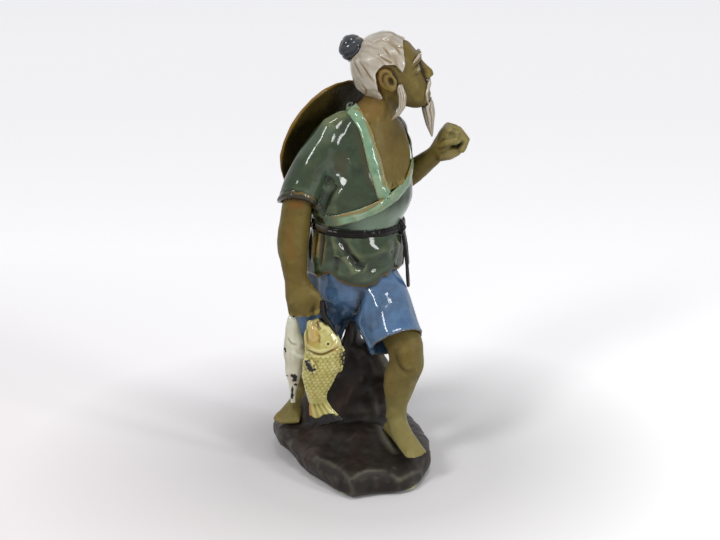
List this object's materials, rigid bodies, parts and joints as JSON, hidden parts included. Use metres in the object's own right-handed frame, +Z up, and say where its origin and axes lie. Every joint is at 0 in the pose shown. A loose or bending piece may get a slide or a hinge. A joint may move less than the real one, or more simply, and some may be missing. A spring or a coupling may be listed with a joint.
{
  "type": "figurine",
  "caption": "Glazed stoneware figurine of an old fisherman striding over a rock, hat on his back, a catch of fish in one fist and the other hand raised.",
  "frame": {"origin": "middle of the whole figurine's outline, on the surface that its felt pads stand on", "axes": "+Z up; +X the way the head looks; +Y away from the side that shows the face in profile, the robe and the catch"},
  "size_m": [0.1362, 0.1316, 0.2979],
  "materials": {
    "skin_glaze": "semi-matte",
    "green_glaze": "gloss",
    "celadon_glaze": "gloss",
    "sash_glaze": "gloss",
    "blue_glaze": "gloss",
    "rock_glaze": "satin",
    "hair_glaze": "satin",
    "bun_glaze": "gloss",
    "straw_glaze": "gloss",
    "carp_glaze": "gloss",
    "white_fish_glaze": "gloss",
    "string_glaze": "gloss",
    "felt": "matte"
  },
  "bodies": {
    "root": {"left_foot": "skin_glaze", "right_foot": "skin_glaze", "left_leg": "skin_glaze", "right_leg": "skin_glaze", "right_arm": "skin_glaze", "left_forearm": "skin_glaze", "right_hand": "skin_glaze", "left_hand": "skin_glaze", "chest_neck": "skin_glaze", "head": "skin_glaze", "right_ear": "skin_glaze", "left_ear": "skin_glaze", "tunic_body": "green_glaze", "tunic_skirt": "green_glaze", "right_sleeve": "green_glaze", "left_sleeve": "green_glaze", "left_lapel": "celadon_glaze", "right_lapel": "celadon_glaze", "sash": "sash_glaze", "sash_knot": "sash_glaze", "sash_tail_long": "sash_glaze", "sash_tail_short": "sash_glaze", "shorts": "blue_glaze", "rock_base": "rock_glaze", "rock_column": "rock_glaze", "hair": "hair_glaze", "right_sideburn_tuft": "hair_glaze", "left_sideburn_tuft": "hair_glaze", "beard": "hair_glaze", "moustache_right": "hair_glaze", "moustache_left": "hair_glaze", "right_eyebrow": "hair_glaze", "left_eyebrow": "hair_glaze", "topknot_bun": "bun_glaze", "hat": "straw_glaze", "carp_body": "carp_glaze", "carp_tail_fin": "carp_glaze", "carp_dorsal_fin": "carp_glaze", "white_fish_body": "white_fish_glaze", "white_fish_tail_fin": "white_fish_glaze", "carp_string": "string_glaze", "white_fish_string": "string_glaze", "felt_pad_front_right": "felt", "felt_pad_front_left": "felt", "felt_pad_back_left": "felt", "felt_pad_back_right": "felt"}
  },
  "joints": []
}
